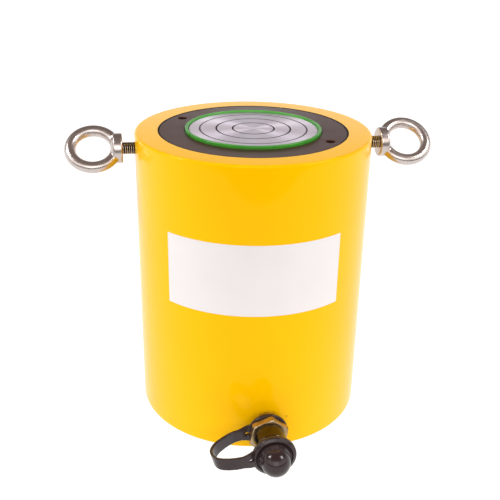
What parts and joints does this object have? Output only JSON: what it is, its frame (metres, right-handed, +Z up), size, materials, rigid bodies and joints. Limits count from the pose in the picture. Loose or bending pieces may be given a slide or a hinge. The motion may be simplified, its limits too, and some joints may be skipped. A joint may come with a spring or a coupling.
{
  "type": "hydraulic jack",
  "caption": "Round high-tonnage hydraulic jack with a spring-return plunger, grooved saddle, side lifting eyes and a capped oil coupler near its base.",
  "frame": {"origin": "centre of the flat underside of the base, on the plunger's axis", "axes": "+Z up along the plunger's travel, the oil coupler points along -Y, the two eye bolts lie along +X and -X"},
  "size_m": [0.2842, 0.2358, 0.2316],
  "materials": {
    "yellow_enamel": "glossy enamel",
    "blacked_steel": "chemically blacked, satin",
    "green_urethane": "moulded, satin",
    "chromed_steel": "hard chrome",
    "ground_steel": "turned and ground",
    "plain_steel": "machined",
    "oiled_spring_steel": "oil tempered",
    "stainless_steel": "polished stainless",
    "yellow_zinc": "yellow chromated zinc",
    "olive_zinc": "olive chromated zinc",
    "bronze": "machined bronze",
    "white_ptfe": "smooth",
    "nitrile_rubber": "moulded",
    "black_rubber": "moulded, satin"
  },
  "bodies": {
    "cylinder": {"cylinder_body": "yellow_enamel", "gland_ring": "blacked_steel", "gland_seal": "nitrile_rubber", "rod_guide_ring": "bronze", "rod_wiper": "green_urethane", "lower_spring_anchor": "plain_steel", "return_spring": "oiled_spring_steel", "coupler_adapter": "yellow_zinc", "coupler_seal": "nitrile_rubber", "coupler_sleeve": "olive_zinc", "valve_retainer": "plain_steel", "valve_spring": "oiled_spring_steel", "cap_strap": "black_rubber"},
    "lift": {"plunger": "chromed_steel", "piston_seal": "nitrile_rubber", "piston_backup_ring": "white_ptfe", "piston_wear_ring": "bronze", "saddle": "ground_steel", "saddle_ring": "nitrile_rubber", "upper_spring_anchor": "plain_steel"},
    "valve": {"coupler_poppet": "plain_steel"},
    "cap": {"dust_cap": "black_rubber"},
    "right_eye": {"eye_bolt_right": "stainless_steel"},
    "left_eye": {"eye_bolt_left": "stainless_steel"}
  },
  "joints": [
    {"name": "plunger_lift", "type": "slide", "parent": "cylinder", "child": "lift", "axis": [0, 0, 1], "range_m": [0, 0.1], "stiffness_N_per_m": 7000, "springref_m": -0.03, "deforming": ["return_spring"]},
    {"name": "cap_pull", "type": "slide", "parent": "cylinder", "child": "cap", "axis": [0, -1, 0], "range_m": [0, 0.016], "deforming": ["cap_strap"]},
    {"name": "valve_push", "type": "slide", "parent": "cylinder", "child": "valve", "axis": [0, 1, 0], "range_m": [0, 0.003], "stiffness_N_per_m": 900, "springref_m": -0.003, "deforming": ["valve_spring"]},
    {"name": "right_eye_turn", "type": "hinge", "parent": "cylinder", "child": "right_eye", "pos_m": [0.099, 0, 0.2161], "axis": [1, 0, 0], "range_deg": [-180, 180]},
    {"name": "left_eye_turn", "type": "hinge", "parent": "cylinder", "child": "left_eye", "pos_m": [-0.099, 0, 0.2161], "axis": [-1, 0, 0], "range_deg": [-180, 180]}
  ]
}
